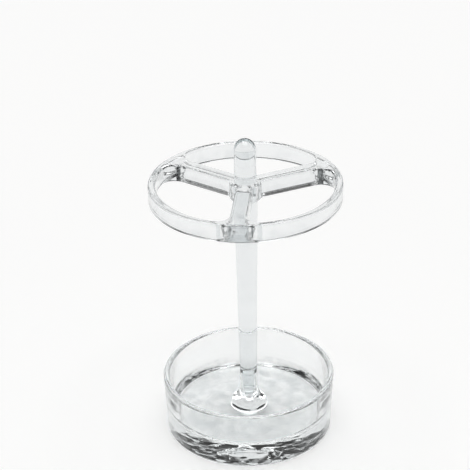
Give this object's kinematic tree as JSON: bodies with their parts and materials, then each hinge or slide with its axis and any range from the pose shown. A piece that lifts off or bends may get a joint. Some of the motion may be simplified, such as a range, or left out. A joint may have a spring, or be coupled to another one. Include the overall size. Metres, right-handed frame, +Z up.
{
  "type": "toothbrush holder",
  "caption": "Free-standing clear plastic toothbrush holder: a round drip dish, a tapered centre post and a spoked ring whose openings keep the brushes upright.",
  "frame": {"origin": "centre of the dish's underside, on the surface the holder stands on", "axes": "+Z up along the post; one spoke of the ring points to -Y"},
  "size_m": [0.08, 0.08, 0.1356],
  "materials": {
    "clear_dish": "clear colourless acrylic, polished",
    "clear_post": "clear colourless acrylic, polished",
    "clear_ring": "clear colourless acrylic, polished"
  },
  "bodies": {
    "base": {"base_dish": "clear_dish"},
    "pillar": {"post": "clear_post"},
    "carrier": {"spoke_ring": "clear_ring"}
  },
  "joints": [
    {"name": "post_lift", "type": "slide", "parent": "base", "child": "pillar", "axis": [0, 0, 1], "range_m": [0, 0.0135]},
    {"name": "ring_turn", "type": "hinge", "parent": "pillar", "child": "carrier", "pos_m": [0, 0, 0.1091], "axis": [0, 0, 1], "continuous": true}
  ]
}
